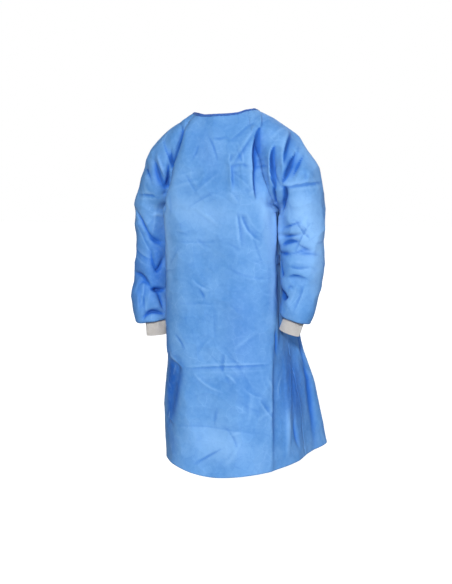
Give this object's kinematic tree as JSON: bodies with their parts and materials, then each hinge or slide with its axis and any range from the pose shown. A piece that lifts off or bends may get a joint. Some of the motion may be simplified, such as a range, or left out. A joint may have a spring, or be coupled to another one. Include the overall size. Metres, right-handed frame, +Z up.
{
  "type": "surgical gown",
  "caption": "Blue non-woven surgical gown in its worn shape, with raglan sleeves, knit cuffs, a bound neck, an overlapping open back and a waist belt tied behind",
  "frame": {"origin": "the middle of the neck opening at shoulder height, where the gown rests on its wearer", "axes": "+Z is up, the front faces -Y, and +X is the wearer's left"},
  "size_m": [0.6825, 0.4348, 1.2085],
  "materials": {
    "gown_cloth": "blue spunbond non-woven with a faint sheen",
    "cuff_knit": "off-white ribbed knit",
    "neck_binding": "dark blue folded binding strip",
    "closure_tape": "blue hook and loop tape"
  },
  "bodies": {
    "root": {"front": "gown_cloth", "back_left": "gown_cloth", "back_right": "gown_cloth", "back_right_yoke": "gown_cloth", "sleeve_left": "gown_cloth", "sleeve_right": "gown_cloth", "sleeve_right_yoke": "gown_cloth", "cuff_left": "cuff_knit", "cuff_right": "cuff_knit", "neck_binding": "neck_binding", "neck_hook": "closure_tape", "neck_loop": "closure_tape", "belt": "gown_cloth", "flap_tie": "gown_cloth", "belt_knot": "gown_cloth", "belt_end": "gown_cloth", "tie_end": "gown_cloth"}
  },
  "joints": []
}
